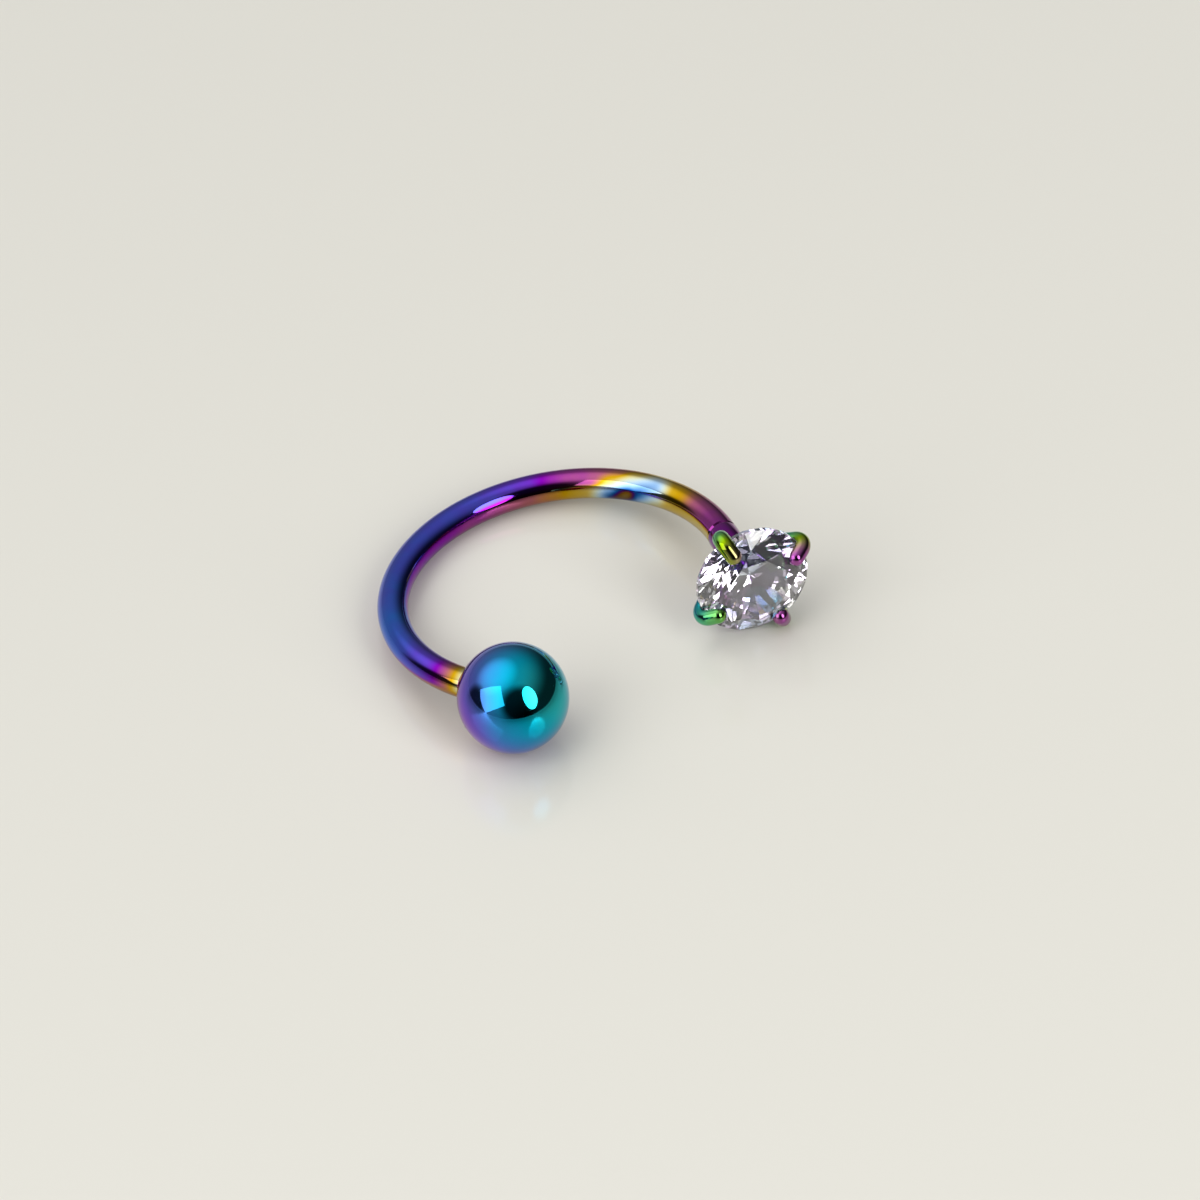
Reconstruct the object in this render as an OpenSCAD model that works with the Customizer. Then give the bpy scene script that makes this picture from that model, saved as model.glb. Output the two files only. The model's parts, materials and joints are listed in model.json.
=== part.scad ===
// Horseshoe ring: an open ring of round wire with a ball screwed on one end
// and a claw-set round stone screwed on the other.
// It lies on its side on a flat surface, z = 0, and rests on three places:
// the ball, the lowest claw and the back of the wire.
// All sizes are in millimetres and all angles in degrees.

/* [Wire] */
// Thickness of the round wire
wire_d = 1.12; // [1.0:0.02:1.3]
// Inside diameter of the ring
inner_d = 11.2; // [10:0.1:14]
// How much of the full circle the wire covers
arc_span = 216.5; // [205:0.5:225]
// Length of the chamfer on each end of the wire
chamfer = 0.1; // [0.05:0.01:0.15]

/* [Posts] */
// Diameter of the post on each end of the wire
post_d = 0.76; // [0.6:0.02:0.8]
// Length of the post that holds the ball
ball_post = 1.5; // [1:0.1:2]
// Length of the post that holds the setting
setting_post = 0.75; // [0.5:0.05:0.85]
// Space between a post and its bore, all round
bore_gap = 0.04; // [0.02:0.01:0.08]
// Space between the wire's end and the piece screwed on it
seat_gap = 0.02; // [0.01:0.01:0.05]

/* [Ball] */
// Diameter of the ball
ball_d = 4.0; // [3.5:0.1:5]
// Diameter of the flat on the ball that meets the wire
ball_flat_d = 1.16; // [1.1:0.02:1.5]

/* [Stone] */
// Diameter of the stone across its girdle
stone_d = 4.18; // [4.06:0.02:4.24]
// Thickness of the girdle
girdle = 0.2; // [0.1:0.01:0.24]
// Width of the table as a share of the diameter
table_share = 0.57; // [0.53:0.01:0.62]
// Slope of the crown's kite facets
crown_slope = 34.5; // [32:0.5:36]
// Slope of the pavilion's main facets
pavilion_slope = 40.75; // [40:0.25:41.5]
// How far the star facets reach from the table towards the girdle
star_share = 0.5; // [0.45:0.01:0.55]
// How far the lower halves reach from the girdle towards the centre
lower_share = 0.77; // [0.7:0.01:0.85]

/* [Setting] */
// Height of the stone's girdle above the setting's foot
girdle_height = 3; // [2.95:0.05:3.1]
// Diameter of the base that the claws grow from
base_d = 1.16; // [1.12:0.02:1.4]
// Length of the base
base_len = 1.1; // [1.05:0.01:1.2]
// Chamfer round both ends of the base
base_chamfer = 0.05; // [0.03:0.01:0.06]
// Thickness of a claw
claw_d = 0.62; // [0.56:0.02:0.66]
// Distance of a claw's middle line from the stone's axis, where it bends
claw_reach = 2.2; // [2.18:0.01:2.24]
// Height of that widest place above the girdle, downwards when negative
claw_bend_z = -0.02; // [-0.06:0.01:0.02]
// Radius of a claw's bend over the girdle
claw_bend = 0.4; // [0.35:0.01:0.45]
// Angle at which a claw leans out from the stone's axis
claw_splay = 48; // [46:0.5:49]
// Distance of a claw's root from the stone's axis
claw_root = 0.35; // [0.3:0.01:0.4]
// Straight length of a claw over the crown
claw_tip = 0.34; // [0.28:0.02:0.42]
// Angle of the first claw from the ring's upper side, towards its inside
claw_turn = 23; // [0:1:45]
// Space between the stone and its seat in the claws
stone_gap = 0.03; // [0.02:0.01:0.05]

/* [Placing] */
// How far the ring's open side is turned round from the front
heading = 36.5; // [0:0.5:90]

/* [Hidden] */
$fn = 96;
CLAWS = 4;
MAINS = 8;
// Girdle corners between two neighbouring kite facets
GIRDLE_STEPS = 8;
// How far one shape of a solid runs into the next, and how much slimmer it is
lap = 0.04;
slim = 0.01;

// Ring frame: the wire's middle line is a circle round Z in the plane z = 0,
// its open side faces -Y, the stone end is at +X and the ball end at -X.
ring_r = (inner_d + wire_d) / 2;
wire_r = wire_d / 2;
ball_r = ball_d / 2;
stone_r = stone_d / 2;
claw_r = claw_d / 2;
half_girdle = girdle / 2;
stone_end = 90 - arc_span / 2;
ball_end = 90 + arc_span / 2;
// Distance of each screwed piece's centre along its post, from the arc's end
flat_depth = sqrt(ball_r * ball_r - ball_flat_d * ball_flat_d / 4);
ball_out = chamfer + seat_gap + flat_depth;
foot_out = chamfer + seat_gap;
girdle_out = foot_out + girdle_height;

function unit(v) = v / norm(v);
function radial(a) = [cos(a), sin(a), 0];
function around(r, a, z) = [r * cos(a), r * sin(a), z];
function reversed(list) = [for (i = [len(list) - 1 : -1 : 0]) list[i]];

// Directions at the two ends: away from the ring's centre, and out of the wire
stone_side = radial(stone_end);
stone_dir = [sin(stone_end), -cos(stone_end), 0];
ball_dir = [-sin(ball_end), cos(ball_end), 0];
ball_c = ring_r * radial(ball_end) + ball_out * ball_dir;
girdle_c = ring_r * stone_side + girdle_out * stone_dir;

// Claws: each one bends in a plane through the stone's axis
function claw_side(k) =
    let (a = claw_turn + k * 360 / CLAWS)
    cos(a) * [0, 0, 1] - sin(a) * stone_side;
function bend_c(k) =
    girdle_c + claw_bend_z * stone_dir + (claw_reach - claw_bend) * claw_side(k);

// Point of a claw's bend that reaches furthest in the direction d
function claw_far(k, d) =
    let (across = cross(claw_side(k), stone_dir))
    bend_c(k) + claw_bend * unit(d - (d * across) * across) + claw_r * d;

// Point of the wire that reaches furthest in the direction d: where its arc
// faces that way, or else the nearer end. Angles run from -90 to 270 here.
function wire_far(d) =
    let (towards = atan2(d[1], d[0]))
    let (a = towards < -90 ? towards + 360 : towards)
    ring_r * radial(min(max(a, stone_end), ball_end)) + wire_r * d;

// Lowest claw point when the direction d is down
function lowest_claw(d) =
    let (feet = [for (k = [0 : CLAWS - 1]) claw_far(k, d)])
    let (depth = [for (f = feet) f * d])
    [for (k = [0 : CLAWS - 1]) if (depth[k] == max(depth)) feet[k]][0];

// The surface's normal in the ring frame: square to the plane through the three
// resting points, which are worked out again for each better normal.
function settle(up, rounds) =
    rounds == 0 ? up
    : let (a = ball_c - ball_r * up, b = lowest_claw(-up), c = wire_far(-up))
      settle(unit(cross(b - a, c - a)), rounds - 1);

floor_up = settle(unit([0, -0.1, 1]), 12);
floor_h = (ball_c - ball_r * floor_up) * floor_up;
lean = acos(floor_up[2]);
lean_axis = cross(floor_up, [0, 0, 1]);

// A direction on the surface, seen from the ring frame
function turned(v, a, axis) =
    v * cos(a) + cross(axis, v) * sin(a) + axis * (axis * v) * (1 - cos(a));
function from_floor(d) = turned(turned(d, -heading, [0, 0, 1]), -lean, unit(lean_axis));

// How far the whole ring reaches in a direction on the surface
function reach(d) =
    let (v = from_floor(d))
    max(
        wire_far(v) * v,
        ball_c * v + ball_r,
        max([for (k = [0 : CLAWS - 1]) claw_far(k, v) * v])
    );
middle_x = (reach([1, 0, 0]) - reach([-1, 0, 0])) / 2;
middle_y = (reach([0, 1, 0]) - reach([0, -1, 0])) / 2;

// Ring frame to surface frame, with the middle of the ring's box over the origin
module lay_down() {
    translate([-middle_x, -middle_y, 0])
    rotate([0, 0, heading])
    translate([0, 0, -floor_h])
    rotate(a = lean, v = lean_axis)
    children();
}

// Frame of the stone end: Z out of the wire, X along the ring's normal,
// Y towards the ring's inside, origin at the arc's end
module at_stone_end() {
    rotate([0, 0, stone_end])
    translate([ring_r, 0, 0])
    rotate([90, 0, 0])
    rotate([0, 0, 90])
    children();
}

// Frame of the ball end: Z out of the wire, origin at the arc's end
module at_ball_end() {
    rotate([0, 0, ball_end])
    translate([ring_r, 0, 0])
    rotate([-90, 0, 0])
    children();
}

// Chamfered end of the wire with the post that a piece is screwed on
module post(length) {
    rotate_extrude()
    polygon([
        [0, -lap],
        [wire_r - slim, -lap],
        [wire_r - slim, 0],
        [wire_r - chamfer, chamfer],
        [post_d / 2, chamfer],
        [post_d / 2, chamfer + length],
        [0, chamfer + length]
    ]);
}

// Blind bore for a post, from just outside the seat
module bore(length) {
    translate([0, 0, -lap])
    cylinder(h = length + 2 * bore_gap + lap, d = post_d + 2 * bore_gap);
}

module shaft() {
    color("mediumblue")
    lay_down() {
        rotate([0, 0, stone_end])
        rotate_extrude(angle = arc_span)
        translate([ring_r, 0])
        circle(d = wire_d);
        at_ball_end() post(ball_post);
        at_stone_end() post(setting_post);
    }
}

module ball() {
    color("teal")
    lay_down()
    at_ball_end()
    translate([0, 0, ball_out])
    difference() {
        sphere(d = ball_d);
        translate([0, 0, -ball_r - flat_depth])
        cylinder(h = ball_r, d = ball_d);
        translate([0, 0, -flat_depth]) bore(ball_post);
    }
}

// Heights and radii of the stone's corners, from its girdle's middle. The kites
// and the mains touch the girdle at whole steps, the other facets lie between.
step = 360 / MAINS;
half_step = step / 2;
quarter_step = step / 4;
table_r = table_share * stone_r;
table_z = half_girdle + (stone_r - table_r) * tan(crown_slope);
table_side = table_r * cos(half_step);
star_r = table_side + star_share * (stone_r - table_side);
star_z = half_girdle + (stone_r - star_r * cos(half_step)) * tan(crown_slope);
lower_r = (1 - lower_share) * stone_r;
lower_z = half_girdle + (stone_r - lower_r * cos(half_step)) * tan(pavilion_slope);
culet_z = half_girdle + stone_r * tan(pavilion_slope);

// Height of the girdle's edge at an angle, where it is cut by a facet that ends
// at radius r and height z between two kites
function girdle_edge(a, r, z) =
    let (off = a % half_step - quarter_step)
    let (rise = (z - half_girdle) / ((stone_r - r) * cos(quarter_step)))
    half_girdle - stone_r * (cos(off) - cos(quarter_step)) * rise;

// Round brilliant with its girdle's middle at the origin and its table at +Z.
// Facet k starts at the angle k * step, and half facets lie on both sides of
// the angle between two kites.
module brilliant() {
    turns = [0 : MAINS - 1];
    corners = [0 : MAINS * GIRDLE_STEPS - 1];
    corner_step = step / GIRDLE_STEPS;
    points = concat(
        [for (k = turns) around(table_r, k * step, table_z)],
        [for (k = turns) around(star_r, k * step + half_step, star_z)],
        [for (k = turns) around(lower_r, k * step + half_step, -lower_z)],
        [[0, 0, -culet_z]],
        [for (j = corners) let (a = j * corner_step) around(stone_r, a, girdle_edge(a, star_r, star_z))],
        [for (j = corners) let (a = j * corner_step) around(stone_r, a, -girdle_edge(a, lower_r, lower_z))]
    );
    // Numbers of the points: each kind starts where the one before it ends
    function table_p(k) = k % MAINS;
    function star_p(k) = MAINS + k % MAINS;
    function lower_p(k) = 2 * MAINS + k % MAINS;
    culet_p = 3 * MAINS;
    function top_p(j) = culet_p + 1 + j % (MAINS * GIRDLE_STEPS);
    function bottom_p(j) = top_p(j) + MAINS * GIRDLE_STEPS;
    // Corners of the girdle under a half facet, from its first to its last
    function under(k, half) =
        let (first = k * GIRDLE_STEPS + half * GIRDLE_STEPS / 2)
        [first : first + GIRDLE_STEPS / 2];
    faces = concat(
        [[for (k = turns) MAINS - 1 - k]],
        [for (k = turns) [table_p(k), table_p(k + 1), star_p(k)]],
        [for (k = turns) [table_p(k + 1), star_p(k + 1), top_p((k + 1) * GIRDLE_STEPS), star_p(k)]],
        [for (k = turns, half = [0, 1])
            concat([star_p(k)], reversed([for (j = under(k, half)) top_p(j)]))],
        [for (j = corners) [top_p(j), top_p(j + 1), bottom_p(j + 1), bottom_p(j)]],
        [for (k = turns, half = [0, 1]) concat([lower_p(k)], [for (j = under(k, half)) bottom_p(j)])],
        [for (k = turns) [culet_p, lower_p(k), bottom_p((k + 1) * GIRDLE_STEPS), lower_p(k + 1)]]
    );
    polyhedron(points = points, faces = faces);
}

// The stone's widest outline with a little room round it, cut from the claws
module stone_seat() {
    seat_r = stone_r + stone_gap;
    seat_z = half_girdle + stone_gap;
    rotate_extrude()
    polygon([
        [0, -culet_z - stone_gap],
        [lower_r, -lower_z - stone_gap],
        [seat_r, -seat_z],
        [seat_r, seat_z],
        [star_r + stone_gap, star_z + stone_gap],
        [table_r, table_z + stone_gap],
        [0, table_z + stone_gap]
    ]);
}

// One claw in the plane y = 0, with the girdle's middle at the origin:
// a straight rod out of the base, a bend over the girdle and a rounded tip
module claw() {
    crown_lean = 90 - crown_slope;
    bend_x = claw_reach - claw_bend;
    start_x = bend_x + claw_bend * cos(claw_splay);
    start_z = claw_bend_z - claw_bend * sin(claw_splay);
    rod = (start_x - claw_root) / sin(claw_splay);
    translate([claw_root, 0, start_z - rod * cos(claw_splay)])
    rotate([0, claw_splay, 0])
    cylinder(h = rod + lap, d = claw_d - slim);
    translate([bend_x, 0, claw_bend_z])
    rotate([90, 0, 0])
    rotate([0, 0, -claw_splay])
    rotate_extrude(angle = claw_splay + crown_lean)
    translate([claw_bend, 0])
    circle(d = claw_d);
    translate([bend_x, 0, claw_bend_z])
    translate([claw_bend * cos(crown_lean), 0, claw_bend * sin(crown_lean)])
    rotate([0, -crown_lean, 0]) {
        translate([0, 0, -lap]) cylinder(h = claw_tip + lap, d = claw_d - slim);
        translate([0, 0, claw_tip]) sphere(d = claw_d);
    }
}

// Round base with both rims chamfered, its foot at z = 0
module base() {
    base_r = base_d / 2;
    rotate_extrude()
    polygon([
        [0, 0],
        [base_r - base_chamfer, 0],
        [base_r, base_chamfer],
        [base_r, base_len - base_chamfer],
        [base_r - base_chamfer, base_len],
        [0, base_len]
    ]);
}

module setting() {
    color("olivedrab")
    lay_down()
    at_stone_end()
    translate([0, 0, foot_out])
    difference() {
        union() {
            base();
            for (k = [0 : CLAWS - 1])
            translate([0, 0, girdle_height])
            rotate([0, 0, claw_turn + k * 360 / CLAWS])
            claw();
        }
        bore(setting_post);
        translate([0, 0, girdle_height]) stone_seat();
    }
}

module stone() {
    color("aliceblue")
    lay_down()
    at_stone_end()
    translate([0, 0, girdle_out])
    rotate([0, 0, claw_turn])
    brilliant();
}

shaft();
ball();
setting();
stone();
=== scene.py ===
# %% [markdown]
# A horseshoe ring is an open ring of round wire for a piercing. A ball screws on one end
# and a small claw setting with a clear stone on the other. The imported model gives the
# real sizes and places. This lesson dresses it: the metal pieces are modelled again with
# finer surfaces and real threads, then the steel gets its coloured coating and the stone
# its clear, sparkling glass.

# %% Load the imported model
import json
import math
import bmesh
import bpy
from mathutils import Matrix, Vector


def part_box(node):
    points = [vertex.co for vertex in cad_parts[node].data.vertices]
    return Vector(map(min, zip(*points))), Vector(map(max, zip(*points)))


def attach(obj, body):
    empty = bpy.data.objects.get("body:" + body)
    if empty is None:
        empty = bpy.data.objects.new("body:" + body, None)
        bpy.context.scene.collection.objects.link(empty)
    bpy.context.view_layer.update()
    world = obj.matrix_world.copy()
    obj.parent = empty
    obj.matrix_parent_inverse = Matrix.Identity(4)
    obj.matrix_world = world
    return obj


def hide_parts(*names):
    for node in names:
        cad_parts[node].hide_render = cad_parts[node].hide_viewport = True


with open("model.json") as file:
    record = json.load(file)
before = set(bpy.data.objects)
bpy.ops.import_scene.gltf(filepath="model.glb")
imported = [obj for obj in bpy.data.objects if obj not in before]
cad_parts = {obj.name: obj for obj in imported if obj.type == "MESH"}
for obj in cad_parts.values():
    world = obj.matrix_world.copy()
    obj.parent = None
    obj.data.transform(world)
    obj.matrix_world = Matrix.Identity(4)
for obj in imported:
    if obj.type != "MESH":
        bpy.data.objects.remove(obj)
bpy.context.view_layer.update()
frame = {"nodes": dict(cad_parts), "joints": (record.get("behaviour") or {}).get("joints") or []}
MM = 0.001

# %% [markdown]
# Every place is worked out from the frame. The two joints unscrew the ball and the
# setting straight off the wire, so their directions are the wire's directions at its two
# ends. Both lie in the ring's plane and mirror each other about its open side, which
# gives the ring's own right, back and up.

# %% The ring's own directions
ways = {joint["name"]: Vector(joint["axis"]).normalized() for joint in frame["joints"]}
ball_way = ways["ball_unscrew"]
stone_way = ways["setting_unscrew"]
ring_up = stone_way.cross(ball_way).normalized()
ring_back = -(stone_way + ball_way).normalized()
ring_right = ring_back.cross(ring_up)
ring_span = math.pi + stone_way.angle(ball_way)
print("the wire covers", round(math.degrees(ring_span), 1), "degrees of its circle")

# %% The wire's circle
heights = [ring_up.dot(vertex.co) for vertex in frame["nodes"]["shaft"].data.vertices]
wire_r = round((max(heights) - min(heights)) / MM, 2) / 2 * MM
inside_r = 5.6 * MM
ring_r = inside_r + wire_r
print("the wire is", round(2 * wire_r / MM, 2), "mm thick")
print("its middle runs on a circle of radius", round(ring_r / MM, 2), "mm")

# %% The wire's two ends
chamfer = 0.1 * MM
seat_gap = 0.02 * MM
ball_low, ball_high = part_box("ball")
ball_r = (ball_high - ball_low).z / 2
ball_middle = (ball_low + ball_high) / 2
flat_r = 0.58 * MM
flat_depth = math.sqrt(ball_r**2 - flat_r**2)
ball_root = ball_middle - (chamfer + seat_gap + flat_depth) * ball_way
ring_middle = ball_root - ring_r * ball_way.cross(ring_up)
stone_root = ring_middle + ring_r * ring_up.cross(stone_way)
print("ring centre, mm:", [round(c / MM, 2) for c in ring_middle])

# %% [markdown]
# The camera looks down on the ring from the front, as a close photograph of a thing that
# lies on a table does. It stands 30 cm away and has a long lens, so the ring keeps nearly
# parallel lines. The small roll is the photographer's hand.

# %% Camera
view_tilt = math.radians(43.294)
view_roll = math.radians(-3.025)
view_target = Vector((0.1999, 1.4868, 0)) * MM
view_distance = 300 * MM
to_camera = Vector((0, -math.cos(view_tilt), math.sin(view_tilt)))
bpy.ops.object.select_all(action="DESELECT")
bpy.ops.object.camera_add(location=view_target + view_distance * to_camera)
camera = bpy.context.object
level = Matrix.Rotation(math.pi / 2 - view_tilt, 3, "X")
camera.rotation_euler = (level @ Matrix.Rotation(view_roll, 3, "Z")).to_euler()
camera.data.sensor_width = 36
camera.data.lens = 249.44
camera.data.clip_start = 10 * MM
camera.data.clip_end = 20
bpy.context.scene.camera = camera
frame_width = view_distance / MM * camera.data.sensor_width / camera.data.lens
print("the frame is", round(frame_width, 1), "mm wide at the ring")

# %% [markdown]
# Two helpers serve every light and material. One turns a colour from a paint chart, an
# sRGB hex value, into the linear numbers that shaders work with. The other adds a node
# with its settings and links in one line, so a material reads like a recipe.

# %% Colours and shader nodes
def colour(code):
    """A colour written as sRGB hex, as the linear numbers that shaders work with."""
    parts = [int(code[i : i + 2], 16) / 255 for i in (1, 3, 5)]
    return [p / 12.92 if p <= 0.04045 else ((p + 0.055) / 1.055) ** 2.4 for p in parts] + [1]


def add(tree, kind, inputs=None, **settings):
    """One new node. An input is a value or another node's output, a setting is its own."""
    new = tree.nodes.new("ShaderNode" + kind)
    for name, value in settings.items():
        setattr(new, name, value)
    for socket, value in (inputs or {}).items():
        if isinstance(value, bpy.types.NodeSocket):
            tree.links.new(value, new.inputs[socket])
        else:
            new.inputs[socket].default_value = value
    return new


# %% [markdown]
# Polished metal shows little but its surroundings, so the light matters as much as the
# finish. A picture of a studio would do for them, but soft round patches of light and
# shade, each with a direction and a width, are easier to set right one by one. The room
# is a dim dome with a bright, blurred window high up on the left and a pale wall round
# it. It is dark behind the camera and in a low corner on the left.

# %% Directions and patches of light
def toward(azimuth, height):
    """Direction of a place in the room: degrees right of the camera's side, and up."""
    a, h = math.radians(azimuth), math.radians(height)
    return Vector((math.sin(a) * math.cos(h), -math.cos(a) * math.cos(h), math.sin(h)))


def patch(tree, place, way, edge, core, low, high):
    """A soft round patch of the room: low outside edge degrees from way, high inside core."""
    near = add(tree, "VectorMath", {0: place, 1: way}, operation="DOT_PRODUCT").outputs["Value"]
    limits = {"From Min": math.cos(math.radians(edge)), "From Max": math.cos(math.radians(core))}
    level = {"Value": near, "To Min": low, "To Max": high, **limits}
    return add(tree, "MapRange", level, interpolation_type="SMOOTHSTEP").outputs[0]


# %% Room light
room = bpy.data.worlds.new("soft_studio_room")
room.use_nodes = True
bpy.context.scene.world = room
tree = room.node_tree
place = add(tree, "TexCoord").outputs["Generated"]
dome = patch(tree, place, toward(0, 90), edge=72, core=1, low=0.03, high=0.2)
window = patch(tree, place, toward(-108, 59), edge=45, core=1, low=0, high=1.04)
wall = patch(tree, place, toward(-93, 49), edge=110, core=45, low=0, high=0.48)
behind_camera = patch(tree, place, toward(14, 28), edge=46, core=25, low=1, high=0.04)
low_corner = patch(tree, place, toward(-84, 4), edge=30, core=14, low=1, high=0.08)
total = dome
for light in (window, wall):
    total = add(tree, "Math", {0: total, 1: light}, operation="ADD").outputs[0]
for shade in (behind_camera, low_corner):
    total = add(tree, "Math", {0: total, 1: shade}, operation="MULTIPLY").outputs[0]
background = tree.nodes["Background"]
background.inputs["Color"].default_value = colour("#ffffff")
tree.links.new(total, background.inputs["Strength"])
print(room.name, "has", len(tree.nodes), "nodes")

# %% [markdown]
# Two soft boxes stand in front, left and right of the camera. Their mirror images are the
# two bright spots on the ball, a turned square and a narrow oval, so their shapes are
# the lamps' own. Each stands 40 cm away, and its size follows from how wide it looks.

# %% Soft boxes
def soft_box(name, shape, azimuth, height, wide, tall, turn, radiance):
    """A flat light that faces the ring. Wide and tall are degrees seen from it."""
    away = 400 * MM
    spot = away * toward(azimuth, height)
    bpy.ops.object.select_all(action="DESELECT")
    bpy.ops.object.light_add(type="AREA", location=spot)
    box = bpy.context.object
    box.name = name
    facing = (-spot).to_track_quat("-Z", "Y").to_matrix()
    box.rotation_euler = (facing @ Matrix.Rotation(math.radians(turn), 3, "Z")).to_euler()
    lamp = box.data
    lamp.shape = shape
    lamp.size = 2 * away * math.tan(math.radians(wide / 2))
    lamp.size_y = 2 * away * math.tan(math.radians(tall / 2))
    area = lamp.size * lamp.size_y * (math.pi / 4 if shape == "ELLIPSE" else 1)
    lamp.energy = radiance * math.pi * area
    print(name, "is", round(lamp.size / MM), "by", round(lamp.size_y / MM), "mm")


soft_box(
    "soft_box_left", "RECTANGLE", azimuth=-54, height=30, wide=47, tall=43, turn=45, radiance=2
)
soft_box(
    "soft_box_right", "ELLIPSE", azimuth=43, height=33, wide=28, tall=46, turn=-8, radiance=5.093
)

# %% [markdown]
# The floor is a plain slab of pale polished stone. Its gloss is weak from above, but the
# ball and the wire see it at a slant, so they also pick up the soft boxes' mirror images.
# Ground and polished limestone is a warm white with a slightly soft gloss.

# %% Floor
bpy.ops.object.select_all(action="DESELECT")
bpy.ops.mesh.primitive_plane_add(size=4)
floor = bpy.context.object
floor.name = "floor"
slab = bpy.data.materials.new("pale_polished_stone")
slab.use_nodes = True
shader = slab.node_tree.nodes["Principled BSDF"]
shader.inputs["Base Color"].default_value = colour("#dcdad1")
shader.inputs["Roughness"].default_value = 0.14
floor.data.materials.append(slab)
print("the floor is", round(floor.dimensions.x), "m wide")

# %% [markdown]
# All pieces are modelled as by hand: a primitive is added at its real size and place, and
# edit mode shapes it. These helpers do what the mouse would. One picks edges by their
# place, and one extrudes what is picked and scales the new rim.

# %% Placing and picking
def turned(along, across):
    """Rotation of a primitive whose Z lies along one direction and whose X lies across it."""
    z = along.normalized()
    x = (across - across.dot(z) * z).normalized()
    return Matrix((x, z.cross(x), z)).transposed().to_euler()


def begin(name):
    """Names the primitive just added and opens it in edit mode."""
    piece = bpy.context.object
    piece.name = name
    piece.data.name = name
    bpy.ops.object.mode_set(mode="EDIT")
    return piece


def pick_edges(wanted):
    """In edit mode, selects the edges that wanted says yes to."""
    bpy.ops.mesh.select_mode(type="EDGE")
    bpy.ops.mesh.select_all(action="DESELECT")
    mesh = bpy.context.object.data
    shape = bmesh.from_edit_mesh(mesh)
    found = [edge for edge in shape.edges if wanted(edge)]
    for edge in found:
        edge.select_set(True)
    shape.select_flush_mode()
    bmesh.update_edit_mesh(mesh)
    return len(found)


# %% Shaping and finishing
SHARP_ANGLE = math.radians(30)


def middle():
    """Middle of the selected vertices, in the room's coordinates."""
    piece = bpy.context.object
    chosen = [v.co for v in bmesh.from_edit_mesh(piece.data).verts if v.select]
    return piece.matrix_world @ (sum(chosen, Vector()) / len(chosen))


def grow(by, scale=1.0):
    """Extrudes what is selected, then scales the new rim or face about its own middle."""
    bpy.ops.mesh.extrude_region_move(TRANSFORM_OT_translate={"value": by})
    bpy.ops.transform.resize(value=(scale, scale, scale), center_override=middle())


def finish_shape():
    """Leaves edit mode, puts the place in the mesh and smooths all but the real edges."""
    bpy.ops.mesh.select_all(action="SELECT")
    bpy.ops.mesh.normals_make_consistent(inside=False)
    bpy.ops.object.mode_set(mode="OBJECT")
    bpy.ops.object.transform_apply(location=True, rotation=True, scale=True)
    bpy.ops.object.shade_smooth_by_angle(angle=SHARP_ANGLE)
    piece = bpy.context.object
    print(piece.name, "has", len(piece.data.polygons), "faces")
    return piece


# %% [markdown]
# Two solids are joined, or one is cut out of the other, with the Boolean modifier. The
# exact solver is slower than the fast one, but it keeps faces that touch or lie close
# together, as a thread and its post do. A solid must stay closed, so the open edges are
# counted each time.

# %% Joining and cutting solids
def combine(piece, tool, operation):
    """Joins the tool to the piece, or cuts it out, and uses the tool up."""
    bpy.ops.object.select_all(action="DESELECT")
    piece.select_set(True)
    bpy.context.view_layer.objects.active = piece
    step = piece.modifiers.new("solid", "BOOLEAN")
    step.operation = operation
    step.solver = "EXACT"
    step.object = tool
    bpy.ops.object.modifier_apply(modifier=step.name)
    bpy.data.objects.remove(tool, do_unlink=True)
    bpy.ops.object.shade_smooth_by_angle(angle=SHARP_ANGLE)
    shape = bmesh.new()
    shape.from_mesh(piece.data)
    gaps = sum(not edge.is_manifold for edge in shape.edges)
    volume = round(shape.calc_volume() / MM**3, 3)
    print(piece.name, "has", len(shape.faces), "faces,", gaps, "open edges and", volume, "mm3")
    shape.free()


# %% [markdown]
# A thread is a ridge that climbs round the post. It could be a stack of plain rings, but
# they wouldn't look cut from an angle. So a zigzag line, one zig for each turn of the
# thread, is turned once round the post's axis while it climbs one pitch: each zig ends
# where the next one began, and the rod is whole. The same shape, a little larger, is the
# tap that cuts the blind bore of the ball and of the setting.

# %% Screw thread
pitch = 0.2 * MM
WELD = 0.001 * MM
HAIR = 0.0001 * MM


def screw_thread(root, way, length, crest, depth):
    """A threaded rod from just behind root, with its crest and the depth of its groove."""
    behind = 0.05 * MM
    bpy.ops.object.select_all(action="DESELECT")
    bpy.ops.mesh.primitive_plane_add(size=crest, location=root, rotation=turned(way, ring_up))
    rod = begin("thread")
    bpy.ops.mesh.select_mode(type="VERT")
    bpy.ops.mesh.select_all(action="SELECT")
    bpy.ops.mesh.merge(type="CENTER")
    bpy.ops.transform.translate(value=crest * ring_up - (behind + 2 * pitch) * way)
    # along the crest, down one flank, along the root and up the other, in parts of a pitch
    zig = [(0, 1 / 8), (-depth, 5 / 16), (0, 1 / 4), (depth, 5 / 16)]
    for _ in range(math.ceil((length + behind) / pitch) + 3):
        for out, climb in zig:
            bpy.ops.mesh.extrude_region_move(
                TRANSFORM_OT_translate={"value": out * ring_up + climb * pitch * way}
            )
    bpy.ops.object.mode_set(mode="OBJECT")
    turn = rod.modifiers.new("turn", "SCREW")
    turn.screw_offset = pitch
    turn.steps = 32
    turn.render_steps = 32
    bpy.ops.object.modifier_apply(modifier=turn.name)
    bpy.ops.object.mode_set(mode="EDIT")
    bpy.ops.mesh.select_all(action="SELECT")
    bpy.ops.mesh.remove_doubles(threshold=WELD)
    for place, outward in ((root - behind * way, -way), (root + length * way, way)):
        bpy.ops.mesh.select_all(action="SELECT")
        bpy.ops.mesh.bisect(
            plane_co=place, plane_no=outward, use_fill=True, clear_outer=True, threshold=HAIR
        )
    return finish_shape()


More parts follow.
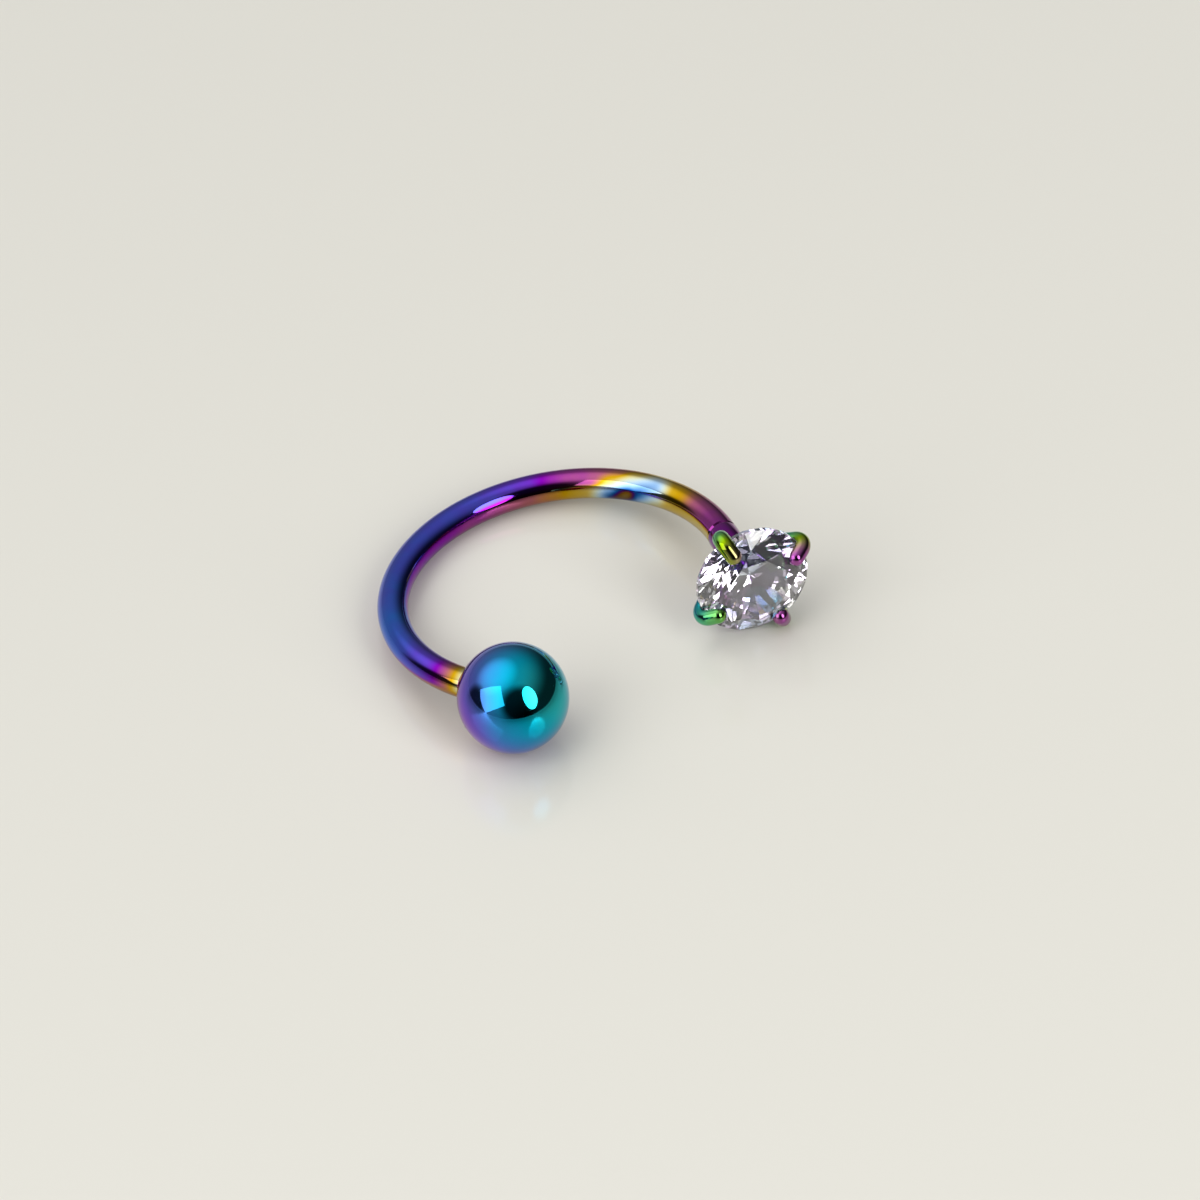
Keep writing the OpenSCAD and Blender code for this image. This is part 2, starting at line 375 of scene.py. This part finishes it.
# %% [markdown]
# The wire is drawn steel, bent to an open ring and turned down to a threaded post at each
# end. A curve with a round bevel would make the ring too, but the spin keeps the section
# a true circle of our own number of sides, and its open rims can then be shaped on.

# %% Wire
SECTION_SIDES = 64
ARC_STEPS = 180
bpy.ops.object.select_all(action="DESELECT")
bpy.ops.mesh.primitive_circle_add(
    vertices=SECTION_SIDES, radius=wire_r, location=stone_root, rotation=turned(stone_way, ring_up)
)
wire = begin("wire")
bpy.ops.mesh.select_all(action="SELECT")
bpy.ops.mesh.spin(steps=ARC_STEPS, angle=-ring_span, center=ring_middle, axis=ring_up)
print("the spin ends", round((middle() - ball_root).length / MM, 4), "mm from the ball's root")

# %% The wire's shoulders
def wire_end(root, way):
    """Closes one end of the wire with a chamfer and the shoulder that the piece seats on."""
    here = bpy.context.object.matrix_world.inverted() @ root
    near = 1.2 * wire_r
    pick_edges(lambda edge: edge.is_boundary and (edge.verts[0].co - here).length < near)
    grow(chamfer * way, (wire_r - chamfer) / wire_r)
    bpy.ops.mesh.edge_face_add()


wire_end(ball_root, ball_way)
wire_end(stone_root, stone_way)
finish_shape()

# %% Threaded posts
post_r = 0.38 * MM
post_groove = 0.07 * MM
ball_post = 1.5 * MM
setting_post = 0.75 * MM
for root, way, length in (
    (ball_root, ball_way, ball_post), (stone_root, stone_way, setting_post)
):
    post = screw_thread(root + chamfer * way, way, length, post_r, post_groove)
    combine(wire, post, "UNION")

# %% [markdown]
# The ball is turned steel with a small flat where it meets the wire. A round sphere is
# cut flat with a bisect, the rim is broken with a tiny bevel, as a lathe tool leaves it,
# and the tap cuts the blind bore. Its thread is kept shallow, so that the plain model's
# room round the post stays.

# %% Ball
bpy.ops.object.select_all(action="DESELECT")
bpy.ops.mesh.primitive_uv_sphere_add(
    segments=128, ring_count=64, radius=ball_r, location=ball_middle,
    rotation=turned(ball_way, ring_up),
)
ball = begin("ball_polished")
flat_middle = ball_middle - flat_depth * ball_way
bpy.ops.mesh.select_all(action="SELECT")
bpy.ops.mesh.bisect(
    plane_co=flat_middle, plane_no=-ball_way, use_fill=True, clear_outer=True, threshold=HAIR
)
rim = pick_edges(lambda edge: all(abs(v.co.z + flat_depth) < WELD for v in edge.verts))
bpy.ops.mesh.bevel(offset=0.025 * MM, segments=3, affect="EDGES")
print("the flat's rim had", rim, "edges")
finish_shape()

# %% The ball's bore
bore_gap = 0.04 * MM
bore_groove = 0.025 * MM
tap_crest = post_r + bore_gap
tap = screw_thread(flat_middle, ball_way, ball_post + 2 * bore_gap, tap_crest, bore_groove)
combine(ball, tap, "DIFFERENCE")

# %% [markdown]
# The setting is a short round base, as thick as the wire, with four round claws brazed
# on. The base is a cylinder with its two rims broken by a small bevel.

# %% Setting base
base_r = 0.58 * MM
base_len = 1.1 * MM
foot = stone_root + (chamfer + seat_gap) * stone_way
girdle_middle = foot + 3 * MM * stone_way
bpy.ops.object.select_all(action="DESELECT")
bpy.ops.mesh.primitive_cylinder_add(
    vertices=64, radius=base_r, depth=base_len, location=foot + base_len / 2 * stone_way,
    rotation=turned(stone_way, ring_up),
)
setting = begin("setting_polished")
pick_edges(lambda edge: abs(edge.verts[0].co.z - edge.verts[1].co.z) < 0.01 * MM)
bpy.ops.mesh.bevel(offset=0.05 * MM, segments=3, affect="EDGES")
finish_shape()

# %% [markdown]
# The goldsmith files a notch into each claw, the shape of the stone's edge, and presses
# the claw down on the crown. The notch tool here is the stone's own outline with a hair
# of room round it: a disc at the table, widened to the girdle and narrowed to the point.
# The proportions and slopes are those of a standard round brilliant.

# %% Outline of the stone
stone_r = 2.09 * MM
stone_gap = 0.03 * MM
half_girdle = 0.1 * MM
table_r = 0.57 * stone_r
star_r = (table_r * math.cos(math.pi / 8) + stone_r) / 2
crown_slope = math.radians(34.5)
pavilion_slope = math.radians(40.75)
crown_drop = (stone_r - star_r * math.cos(math.pi / 8)) * math.tan(crown_slope)
table_z = half_girdle + (stone_r - table_r) * math.tan(crown_slope)
point_z = -half_girdle - stone_gap - 0.98 * stone_r * math.tan(pavilion_slope)
outline = [
    (table_z + stone_gap, table_r),
    (half_girdle + crown_drop + stone_gap, star_r + stone_gap),
    (half_girdle + stone_gap, stone_r + stone_gap),
    (-half_girdle - stone_gap, stone_r + stone_gap),
    (point_z, 0.02 * stone_r),
]
print("the notch tool is", round((outline[0][0] - point_z) / MM, 2), "mm high")

# %% Stone seat
z, r = outline[0]
bpy.ops.object.select_all(action="DESELECT")
bpy.ops.mesh.primitive_circle_add(
    vertices=96, radius=r, fill_type="NGON", location=girdle_middle + z * stone_way,
    rotation=turned(stone_way, ring_up),
)
seat = begin("seat")
for next_z, next_r in outline[1:]:
    grow((next_z - z) * stone_way, next_r / r)
    z, r = next_z, next_r
finish_shape()
seat_again = seat.copy()
seat_again.data = seat.data.copy()
bpy.context.collection.objects.link(seat_again)
combine(setting, seat_again, "DIFFERENCE")

# %% [markdown]
# Each claw is a rod that leans out under the stone, bends over its girdle and ends in a
# rounded tip. A bent curve could make it, but here a disc is extruded along the rod, spun
# round the bend and drawn in step by step to the tip, which keeps the seat for the notch
# tool clean. One claw is modelled and notched, and then copied three times. The claws
# reach a hair less far than the plain model's, whose mesh cuts across their bends.

# %% The claw's sizes
claw_r = 0.31 * MM
claw_reach = 2.192 * MM
claw_root = 0.35 * MM
claw_splay = math.radians(48)
claw_bend = 0.4 * MM
claw_bend_z = -0.02 * MM
claw_straight = 0.34 * MM
crown_lean = math.pi / 2 - crown_slope
claw_turn = math.radians(23)
first_side = math.cos(claw_turn) * ring_up - math.sin(claw_turn) * ring_up.cross(stone_way)
print("the first claw points", round(math.degrees(claw_turn)), "degrees off the ring's up")

# %% One claw
def one_claw(side):
    """The claw in the plane of the stone's axis and side."""
    centre = girdle_middle + (claw_reach - claw_bend) * side + claw_bend_z * stone_way
    lean = math.cos(claw_splay) * stone_way + math.sin(claw_splay) * side
    start = centre + claw_bend * (math.cos(claw_splay) * side - math.sin(claw_splay) * stone_way)
    rod = ((start - girdle_middle).dot(side) - claw_root) / math.sin(claw_splay)
    across = side.cross(stone_way)
    # a hair of turn keeps the disc's corners off the other solids' corners
    bpy.ops.object.select_all(action="DESELECT")
    bpy.ops.mesh.primitive_circle_add(
        vertices=48, radius=claw_r, fill_type="NGON", location=start - rod * lean,
        rotation=turned(lean, across + 0.04 * stone_way),
    )
    begin("claw")
    grow(rod * lean)
    bpy.ops.mesh.spin(steps=20, angle=claw_splay + crown_lean, center=centre, axis=-across)
    tip_way = math.cos(crown_lean) * stone_way - math.sin(crown_lean) * side
    grow(claw_straight * tip_way)
    # the rounded end follows a quarter circle and stops just short of a point
    steps = 10
    for step in range(1, steps + 1):
        a, b = (math.pi / 2 * s / (steps + 0.3) for s in (step - 1, step))
        grow(claw_r * (math.sin(b) - math.sin(a)) * tip_way, math.cos(b) / math.cos(a))
    return finish_shape()


first_claw = one_claw(first_side)
combine(first_claw, seat, "DIFFERENCE")

# %% Four claws and the setting's bore
claws = [first_claw]
for number in (1, 2, 3):
    claw = first_claw.copy()
    claw.data = first_claw.data.copy()
    bpy.context.collection.objects.link(claw)
    here = Matrix.Translation(girdle_middle)
    quarter = Matrix.Rotation(number * math.pi / 2, 4, stone_way)
    claw.data.transform(here @ quarter @ here.inverted())
    claws.append(claw)
for claw in claws:
    combine(setting, claw, "UNION")
tap = screw_thread(foot, stone_way, setting_post + 2 * bore_gap, tap_crest, bore_groove)
combine(setting, tap, "DIFFERENCE")

# %% [markdown]
# The colours are no paint. A clear oxide film on the steel, thinner than a soap bubble's
# skin, lets light that bounces off its top and its bottom meet again. Some colours then
# add up and some cancel out, and which ones depends on the film's thickness alone. A
# ramp of picked colours would do for one ring, but the formula gives the true order for
# any thickness: dark blue, pale blue, gold, magenta, violet, blue, teal, green.

# %% Film colours
# a titanium oxide film bends light 2.4 times as much as air does
FILM_INDEX = 2.4
# what a band still reflects at its darkest, and a power that keeps its dark places narrow
FILM_DARK = 0.002
FILM_SHARPNESS = 0.8
# for each band of light, its wave length in nanometres and its brightest reflection
WIRE_BANDS = {"Red": (594, 0.5), "Green": (523, 0.52), "Blue": (448, 0.61)}
END_BANDS = {"Red": (615, 0.44), "Green": (520, 0.54), "Blue": (440, 0.55)}


def film_colour(tree, thickness, bands, bright=1.0):
    """The colour that a film of this thickness, in nanometres, gives polished steel."""
    levels = {}
    for name, (wave_length, brightest) in bands.items():
        delay = 4 * math.pi * FILM_INDEX / wave_length
        turn = add(tree, "Math", {0: thickness, 1: delay}, operation="MULTIPLY")
        wave = add(tree, "Math", {0: turn.outputs[0]}, operation="COSINE")
        share = add(tree, "MapRange", {"Value": wave.outputs[0], "From Min": -1})
        crisp = add(tree, "Math", {0: share.outputs[0], 1: FILM_SHARPNESS}, operation="POWER")
        limits = {"Value": crisp.outputs[0], "To Min": FILM_DARK, "To Max": bright * brightest}
        levels[name] = add(tree, "MapRange", limits).outputs[0]
    return add(tree, "CombineColor", levels).outputs[0]


# %% [markdown]
# Under the film lies surgical steel that was tumbled bright before it was coated. That
# leaves a mirror with faint marks: the gloss changes a little from place to place, and
# low waves about a millimetre long bend the mirror images. Both are noise on Object
# coordinates, which stays put on the piece when it is unscrewed.

# %% Coated steel
MARKS = 0.15 * MM
WAVES = 0.9 * MM


def coated_steel(name):
    """Steel that was tumbled bright before it was coated: a sharp gloss with faint marks."""
    metal = bpy.data.materials.new(name)
    metal.use_nodes = True
    tree = metal.node_tree
    shader = tree.nodes["Principled BSDF"]
    shader.inputs["Metallic"].default_value = 1
    where = add(tree, "TexCoord").outputs["Object"]
    # real tumbling marks are some 0.02 mm wide, too fine to show, so these are coarser
    marks = add(tree, "TexNoise", {"Vector": where, "Scale": 1 / MARKS, "Detail": 4}).outputs[0]
    gloss = {"Value": marks, "From Min": 0.3, "From Max": 0.7, "To Min": 0.03, "To Max": 0.08}
    tree.links.new(add(tree, "MapRange", gloss).outputs[0], shader.inputs["Roughness"])
    waves = add(tree, "TexNoise", {"Vector": where, "Scale": 1 / WAVES, "Detail": 2}).outputs[0]
    relief = {"Height": waves, "Strength": 1, "Distance": 0.004 * MM}
    tree.links.new(add(tree, "Bump", relief).outputs[0], shader.inputs["Normal"])
    return metal, tree, shader


# %% Places and clouds on a piece
def own_place(tree, centre, rotation, size):
    """Object coordinates seen from a piece's own centre and directions, in units of size."""
    seen = {"Location": centre, "Rotation": rotation, "Scale": (size,) * 3}
    seen["Vector"] = add(tree, "TexCoord").outputs["Object"]
    return add(tree, "Mapping", seen, vector_type="TEXTURE").outputs[0]


def uneven(tree, thickness, spread, grain):
    """The same film thickness with soft clouds in it, spread nanometres deep, grain wide."""
    where = add(tree, "TexCoord").outputs["Object"]
    cloud = add(tree, "TexNoise", {"Vector": where, "Scale": 1 / grain, "Detail": 3})
    limits = {"Value": cloud.outputs[0], "To Min": -spread, "To Max": spread}
    drift = add(tree, "MapRange", limits)
    return add(tree, "Math", {0: thickness, 1: drift.outputs[0]}, operation="ADD").outputs[0]


# %% [markdown]
# The wire's film is thick and blue along the left and the back. It thins through violet
# and magenta to gold near the stone, and one place on its inner side there is dark.
# The lower and inner side is thinner all along. So two curves give the film along the
# wire, one for its upper and one for its lower side, a soft step round the section mixes
# them, and three overlapping round spots thin the film to make that dark place.

# %% Places along the wire
wire_metal, tree, shader = coated_steel("tumbled_steel_rainbow_coated")
ring_turn = Matrix((ring_right, ring_back, ring_up)).transposed().to_euler()
place = own_place(tree, ring_middle, ring_turn, ring_r)
axes = add(tree, "SeparateXYZ", {0: place}).outputs
half = ring_span / 2
angle = add(tree, "Math", {0: axes["X"], 1: axes["Y"]}, operation="ARCTAN2").outputs[0]
along = add(tree, "MapRange", {"Value": angle, "From Min": half, "From Max": -half}).outputs[0]
THICKEST = 200


def film_along(points):
    """Film thickness along the wire. A point is degrees from the stone's end, nanometres."""
    curve = add(tree, "FloatCurve", {"Value": along})
    dots = curve.mapping.curves[0].points
    for number, (degrees, nanometres) in enumerate(points):
        at = (math.radians(degrees) / ring_span, nanometres / THICKEST)
        if number < 2:
            dots[number].location = at
        else:
            dots.new(*at)
    curve.mapping.update()
    return add(tree, "Math", {0: curve.outputs[0], 1: THICKEST}, operation="MULTIPLY").outputs[0]


upper = [
    (0, 157), (14, 152), (27, 138), (40, 145), (61, 156), (69, 158), (90, 171), (130, 174),
    (200, 171), (209, 156), (216.5, 122),
]
lower = [
    (0, 128), (24, 134), (40, 132), (58, 132), (78, 148), (110, 158), (150, 163), (216.5, 143),
]
upper_film = film_along(upper)
lower_film = film_along(lower)
thicknesses = [nanometres for _, nanometres in upper + lower]
print("the film is", min(thicknesses), "to", max(thicknesses), "nanometres before the smear")

# %% Upper and lower side of the wire
thin = wire_r / ring_r
flat_place = add(tree, "CombineXYZ", {"X": axes["X"], "Y": axes["Y"]}).outputs[0]
reach = add(tree, "VectorMath", {0: flat_place}, operation="LENGTH").outputs["Value"]
outward = {"Value": reach, "From Min": 1 - thin, "From Max": 1 + thin, "To Min": -1, "To Max": 1}
outward = add(tree, "MapRange", outward).outputs[0]
upward = {"Value": axes["Z"], "From Min": -thin, "From Max": thin, "To Min": -1, "To Max": 1}
upward = add(tree, "MapRange", upward).outputs[0]
tilt = math.radians(75)
side = add(tree, "Math", {0: outward, 1: math.cos(tilt)}, operation="MULTIPLY").outputs[0]
side = {0: upward, 1: math.sin(tilt), 2: side}
side = add(tree, "Math", side, operation="MULTIPLY_ADD").outputs[0]
share = {"Value": side, "From Min": -0.03, "From Max": 0.36}
share = add(tree, "MapRange", share, interpolation_type="SMOOTHSTEP").outputs[0]
film = add(tree, "Mix", {0: share, 2: lower_film, 3: upper_film}).outputs[0]

# %% Dark spots near the stone
def thin_spot(film, degrees, round_section, radius, depth):
    """A round place with a thinner film, at an angle along the wire and one round it."""
    a, s = math.radians(degrees) - half, math.radians(round_section)
    out = 1 + thin * math.cos(s)
    spot = Vector((-out * math.sin(a), out * math.cos(a), thin * math.sin(s)))
    away = add(tree, "VectorMath", {0: place, 1: spot}, operation="DISTANCE").outputs["Value"]
    hole = {"Value": away, "From Max": radius * MM / ring_r, "To Min": -depth, "To Max": 0}
    hole = add(tree, "MapRange", hole, interpolation_type="SMOOTHSTEP").outputs[0]
    return add(tree, "Math", {0: film, 1: hole}, operation="ADD").outputs[0]


# three overlapping round spots thin the film, which darkens the wire's inner side here
film = thin_spot(film, degrees=35, round_section=128, radius=0.9, depth=57)
film = thin_spot(film, degrees=43, round_section=168, radius=0.95, depth=71)
film = thin_spot(film, degrees=51, round_section=214, radius=1.1, depth=78)
film = uneven(tree, film, spread=4, grain=1.2 * MM)
tree.links.new(film_colour(tree, film, WIRE_BANDS), shader.inputs["Base Color"])
wire.data.materials.append(wire_metal)
print(wire_metal.name, "has", len(tree.nodes), "nodes")

# %% [markdown]
# The ball hung by its bore in the bath, so its film grew thicker away from the wire: it
# turns from violet through blue to teal. One direction carries the whole gradient, a
# little upwards of the ball's own axis. The two end pieces were coated apart from the
# wire, in a denser film that spreads the three bands wider, so the teal stays clean.

# %% Ball metal
ball_metal, tree, shader = coated_steel("tumbled_steel_teal_coated")
ball_film_way = 2 * ball_way + ring_up
place = own_place(tree, ball_middle, turned(ball_film_way, ring_up), ball_r)
height = add(tree, "SeparateXYZ", {0: place}).outputs["Z"]
film = {"Value": height, "From Min": -1, "To Min": 155, "To Max": 198}
film = add(tree, "MapRange", film).outputs[0]
film = uneven(tree, film, spread=3, grain=1.5 * MM)
tree.links.new(film_colour(tree, film, END_BANDS), shader.inputs["Base Color"])
ball.data.materials.append(ball_metal)
print(ball_metal.name, "has", len(tree.nodes), "nodes")

# %% [markdown]
# The setting's film grows from the base, violet like the wire's end, along the claws:
# blue and teal on the rods, green over the girdle and gold at the tips. It also grows
# across the setting, so the left claw stays green and those on the right reach magenta.
# All heights and places are millimetres from the middle of the stone's girdle.

# %% Setting metal
setting_metal, tree, shader = coated_steel("tumbled_steel_green_coated")
base_film = 160
across_way = Vector((1, 0.17, 0.18))
place = own_place(tree, girdle_middle, turned(across_way, ring_up), MM)
across = add(tree, "SeparateXYZ", {0: place}).outputs["Z"]
girdle_film = {"Value": across, "From Min": -2.05, "From Max": 0, "To Min": 196, "To Max": 215}
girdle_film = add(tree, "MapRange", girdle_film).outputs[0]
tip_growth = {"Value": across, "From Min": -1.5, "From Max": 0.6, "To Min": 18, "To Max": 43}
tip_growth = add(tree, "MapRange", tip_growth).outputs[0]
place = own_place(tree, girdle_middle, turned(stone_way, ring_up), MM)
height = add(tree, "SeparateXYZ", {0: place}).outputs["Z"]
rod = add(tree, "MapRange", {"Value": height, "From Min": -1.7, "From Max": -0.25}).outputs[0]
tip = add(tree, "MapRange", {"Value": height, "From Min": -0.2, "From Max": 0.65}).outputs[0]
film = add(tree, "Mix", {0: rod, 2: base_film, 3: girdle_film}).outputs[0]
film = add(tree, "Math", {0: tip, 1: tip_growth, 2: film}, operation="MULTIPLY_ADD").outputs[0]
film = uneven(tree, film, spread=6, grain=0.8 * MM)
# painted shade: the setting's film is dimmed to 0.74 of the ball's, to darken the reflections on
# its claws
film = film_colour(tree, film, END_BANDS, bright=0.74)
tree.links.new(film, shader.inputs["Base Color"])
setting.data.materials.append(setting_metal)
print(setting_metal.name, "has", len(tree.nodes), "nodes")

# %% [markdown]
# The stone is cubic zirconia, a clear crystal that bends light far more than glass and
# bends blue more than red, which gives its coloured fire. Its facets come with the packed
# model, sharp and flat as a polished stone's are, so the mesh stays and only gets its
# glass, with a hair of white haze, as a handled stone has. The fire itself would need
# light split by colour, which the renderer leaves out, so faint lilac and blue tints in
# cells as large as a small facet stand in for it.

# %% Stone glass
glass = bpy.data.materials.new("faceted_cubic_zirconia")
glass.use_nodes = True
tree = glass.node_tree
shader = tree.nodes["Principled BSDF"]
shader.inputs["Transmission Weight"].default_value = 0.97
shader.inputs["Roughness"].default_value = 0
shader.inputs["IOR"].default_value = 2.1
facet = 0.7 * MM
where = add(tree, "TexCoord").outputs["Object"]
cells = add(tree, "TexVoronoi", {"Vector": where, "Scale": 1 / facet})
chance = add(tree, "TexWhiteNoise", {"Vector": cells.outputs["Position"]}).outputs["Value"]
tints = add(tree, "ValToRGB", {0: chance})
ramp = tints.color_ramp
ramp.interpolation = "CONSTANT"
ramp.elements[0].color = colour("#ffffff")
ramp.elements[1].position = 0.5
ramp.elements[1].color = colour("#ead2fb")
ramp.elements.new(0.76).color = colour("#cfdfff")
tree.links.new(tints.outputs[0], shader.inputs["Base Color"])
stone = frame["nodes"]["stone"]
stone.data.materials.clear()
stone.data.materials.append(glass)
print(stone.name, "has", len(stone.data.polygons), "triangles and", glass.name)

# %% [markdown]
# Last, each piece is tied to the body that moves it and takes the place of its plain solid.

# %% Hand the pieces to the frame
for piece, body, node, slot in (
    (wire, "wire", "shaft", "wire_metal"),
    (ball, "ball_end", "ball", "ball_metal"),
    (setting, "stone_end", "setting", "setting_metal"),
):
    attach(piece, body)
    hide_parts(node)
    print(piece.name, "rides on", body, "in place of", node)
bpy.context.scene.view_settings.view_transform = "Standard"
